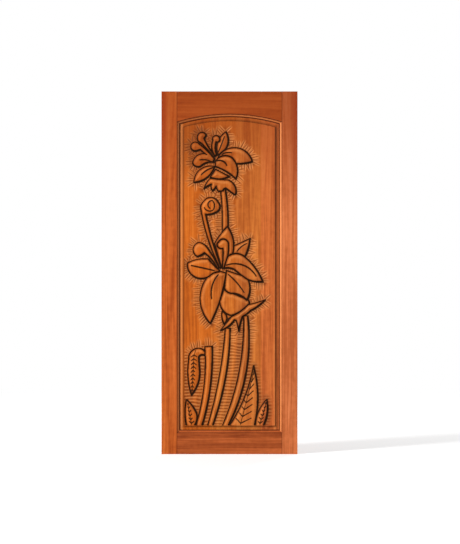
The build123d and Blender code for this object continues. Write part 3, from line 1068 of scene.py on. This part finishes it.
# %% Rails
member(
    "bottom_rail",
    (colour(206, 106, 54), colour(174, 84, 38), colour(136, 58, 22)),
    [
        ("Z", opening_low - moulding, *moulding_step_shade),
        ("Z", opening_low, *gap_stain),
        ("ends", face_edge, *joint_stain),
    ],
    along_x=True,
    shift=(1.9, 5.2, 0.3),
)
member(
    "top_rail",
    (colour(196, 98, 40), colour(172, 80, 28), colour(134, 54, 16)),
    [
        ("arch", arch_radius + moulding, *moulding_step_shade),
        ("arch", arch_radius, *gap_stain),
        ("ends", face_edge, *joint_stain),
    ],
    along_x=True,
    shift=(4.4, 1.2, 6.1),
)

# %% [markdown]
# ## The panel's wood
#
# Each board has its own tone, as glued boards do. Over the wood lie the masks from the carving:
# brown on the sunk ground with painted shade in it, nearly black in the grooves with painted shade
# beside them, and a paler rub on the crests with painted highlights on the rims that face the
# light. The black lines also lose their coat, so that they stay dull and dark. The left bevel faces
# the light and gets a painted highlight, and the right one a painted shade.

# %% Finishes of the boards
ground_brown_and_shade = colour(104, 44, 12)
pale_rub_and_highlight = colour(242, 158, 88)
black_stain_and_shade = colour(22, 6, 1)
ground_strength, crest_strength, groove_strength = 0.8, 0.5, 0.98
stain_band = (0.05, 0.8)
panel_roughness, stain_roughness = 0.4, 0.2
# Painted shade on the right bevel, which faces away from the light, and a painted highlight on the
# left one, which faces it.
right_bevel_shade = 0.18
left_bevel_place, left_bevel_half, left_bevel_highlight = 0.6, 0.45, 0.5
panel_lines = [
    ("ends", opening_half - quirk / 2, *gap_stain),
    ("Z", opening_low + quirk / 2, *gap_stain),
    ("arch", panel_radius - tongue - quirk / 2, *gap_stain),
    ("X", field_half + bevel / 2, bevel / 2, right_bevel_shade),
]
left_bevel_highlight_at = -field_half - bevel * left_bevel_place
panel_highlights = [("X", left_bevel_highlight_at, bevel * left_bevel_half, left_bevel_highlight)]


def panel_wood(board, tones, shift):
    """Varnished finish of a carved board."""
    finish, place, wood, height, fibre = timber(board + "_wood", *tones, False, shift)
    masks = {
        name: finish.node("ShaderNodeAttribute", {"attribute_name": name}, output="Fac")
        for name in mask_names
    }
    wood = darkened_and_lined(finish, wood, measured(finish, place), panel_lines, panel_highlights)
    # Brown on the sunk ground, with painted shade in it.
    wood = finish.blend(wood, ground_brown_and_shade, masks["ground"] * ground_strength)
    # Pale rubbed ridges, with painted highlights on the figures' rims and the bevel.
    wood = finish.blend(wood, pale_rub_and_highlight, masks["rub_and_highlight"] * crest_strength)
    # Near black in the grooves, with painted shade beside them.
    black = finish.fade(masks["stain_and_shade"], *stain_band) * groove_strength
    wood = finish.blend(wood, black_stain_and_shade, black)
    roughness = panel_roughness + fibre * fibre_roughness + masks["stain_and_shade"] * stain_roughness
    return varnish(finish, wood, height, roughness, satin_coat - masks["stain_and_shade"] * satin_coat)


print(len(panel_lines), "stained lines round the panel")

# %% The four boards' tones
board_tones = [
    ((colour(224, 122, 44), colour(204, 102, 28), colour(164, 74, 16)), (2.3, 8.1, 1.4)),
    ((colour(222, 128, 50), colour(202, 106, 36), colour(162, 76, 20)), (9.4, 3.3, 5.2)),
    ((colour(222, 132, 58), colour(204, 112, 46), colour(164, 80, 28)), (5.6, 0.9, 7.7)),
    ((colour(228, 132, 66), colour(210, 110, 52), colour(168, 78, 32)), (0.7, 6.6, 2.8)),
]
for board, (tones, shift) in zip(boards, board_tones):
    carved_boards[board].data.materials.append(panel_wood(board, tones, shift))
    print(board, "is finished")

# %% [markdown]
# ## The dowels
#
# Plain beech pins hold the joints and never see the light. They get the same recipe in pale
# tones, with no stain and no coat, so that the joint looks right when the leaf is taken apart.

# %% Bare wood of the dowels
beech_tones = (colour(224, 190, 146), colour(208, 170, 122), colour(180, 138, 94))
beech_roughness = 0.7
finish, place, wood, height, fibre = timber("dowel_beech", *beech_tones, True)
beech = varnish(finish, wood, height, beech_roughness, coat=0.0)
dowels = [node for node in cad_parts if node.startswith("dowel")]
for node in dowels:
    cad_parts[node].material_slots[0].material = beech
print(len(dowels), "dowels are finished")

# %% [markdown]
# ## Floor
#
# The leaf stands on a pale floor. More light would turn it white, but would also burn out the
# wood, so the white comes from what a ray is for: the camera's own rays, and those of reflections
# and glass, see a floor that glows. Near the leaf a grey floor shows through and takes the
# shadow, and further out it is plain white.

# %% What a ray is for
white = (1, 1, 1, 1)


def looked_at(finish):
    """1 for the camera's rays and those of reflections and glass, 0 for light on the leaf."""
    rays = ("Is Camera Ray", "Is Glossy Ray", "Is Transmission Ray")
    seen, mirrored, through = [finish.node("ShaderNodeLightPath", output=ray) for ray in rays]
    return seen + mirrored + through


print("camera, glossy and transmission rays see the stage")

# %% The floor's finish
floor_grey = (0.6, 0.6, 0.6, 1)
floor_glow = 0.5
shadow_to, white_from = 2.0, 5.0
finish = Finish(bpy.data.materials.new("pale_floor"))
place = finish.node("ShaderNodeTexCoord", output="Object")
from_leaf = finish.node("ShaderNodeVectorMath", {"operation": "LENGTH"}, {0: place}, "Value")
lit = finish.node("ShaderNodeBsdfDiffuse", sockets={"Color": floor_grey})
glow = {"Color": white, "Strength": floor_glow}
near = {0: lit, 1: finish.node("ShaderNodeEmission", sockets=glow)}
near = finish.node("ShaderNodeAddShader", sockets=near)
far = finish.node("ShaderNodeEmission", sockets={"Color": white, "Strength": 1.0})
shown = {0: finish.fade(from_leaf, shadow_to, white_from), 1: near, 2: far}
shown = finish.node("ShaderNodeMixShader", sockets=shown)
look = finish.node("ShaderNodeMixShader", sockets={0: looked_at(finish), 1: lit, 2: shown})
finish.node("ShaderNodeOutputMaterial", sockets={"Surface": look})
print(f"shadow fades out between {shadow_to:.0f} and {white_from:.0f} m")

# %% Floor
floor_half = 30
sheet = bmesh.new()
bmesh.ops.create_grid(sheet, x_segments=1, y_segments=1, size=floor_half)
floor_mesh = bpy.data.meshes.new("floor")
sheet.to_mesh(floor_mesh)
sheet.free()
floor_mesh.materials.append(finish.owner)
floor = bpy.data.objects.new("floor", floor_mesh)
bpy.context.collection.objects.link(floor)
print("floor", floor.dimensions[:])

# %% [markdown]
# ## Surround
#
# A studio has white walls all round. As a lamp such a room would be far too bright from every
# side, and the carving would lose its shadows. So the world lights the leaf only weakly, and
# looks white to the rays that look at it, as the floor does.

# %% Surround
surround_light = 0.13
world = bpy.data.worlds.new("surround")
bpy.context.scene.world = world
finish = Finish(world)
dim = finish.node("ShaderNodeBackground", sockets={"Color": white, "Strength": surround_light})
plain = finish.node("ShaderNodeBackground", sockets={"Color": white, "Strength": 1.0})
look = finish.node("ShaderNodeMixShader", sockets={0: looked_at(finish), 1: dim, 2: plain})
finish.node("ShaderNodeOutputWorld", sockets={"Surface": look})
print("surround lights at", surround_light)

# %% [markdown]
# ## Light
#
# One broad lamp high on the left models the carving: its light rakes over the petals and leaves
# their far sides dark. A weak one on the right opens the shadows, and one behind lights the plain
# back for the other views.


# %% Lamps
def lamp(name, place, aim, size, power):
    """Square soft lamp at a place, turned to its aim."""
    light = bpy.data.lights.new(name, "AREA")
    light.size = size
    light.energy = power
    lamp_object = bpy.data.objects.new(name, light)
    lamp_object.location = place
    turn = (Vector(aim) - Vector(place)).to_track_quat("-Z", "Y")
    lamp_object.rotation_euler = turn.to_euler()
    bpy.context.collection.objects.link(lamp_object)
    print(f"{name}: {power} W")


leaf_height = cad_box[1][2]
leaf_middle = (0, 0, leaf_height / 2)
lamp("key_lamp", (-8.0, -5.2, 6.4), leaf_middle, size=1.8, power=1450)
lamp("fill_lamp", (4.2, -5.2, 1.8), leaf_middle, size=2.5, power=70)
lamp("rear_lamp", (2.0, 5.0, 4.0), leaf_middle, size=2.5, power=250)

# %% [markdown]
# ## Camera
#
# The leaf is seen square on from far away, so a long lens serves. The picture is 460 by 544
# pixels. The leaf's edges in it say how large a pixel is on the leaf, and from that follow the
# lens and the camera's place, with no guessing by eye.

# %% Camera
image_width, image_height = 460, 544
leaf_top_pixel, leaf_bottom_pixel = 91.4, 454.2
leaf_left_pixel, leaf_right_pixel = 161.8, 297.2
distance_to_leaf = 9.0
metres_per_pixel = leaf_height / (leaf_bottom_pixel - leaf_top_pixel)
view_height = image_height * metres_per_pixel
camera_data = bpy.data.cameras.new("camera")
camera_data.sensor_width = 36
camera_data.lens = camera_data.sensor_width * distance_to_leaf / view_height
camera = bpy.data.objects.new("camera", camera_data)
camera.location = (
    (image_width / 2 - (leaf_left_pixel + leaf_right_pixel) / 2) * metres_per_pixel,
    cad_box[0][1] - distance_to_leaf,
    (leaf_bottom_pixel - image_height / 2) * metres_per_pixel,
)
camera.rotation_euler = (pi / 2, 0, 0)
bpy.context.collection.objects.link(camera)
bpy.context.scene.camera = camera
bpy.context.scene.view_settings.view_transform = "Standard"
print(f"lens {camera_data.lens:.1f} mm, view {view_height:.2f} m high")
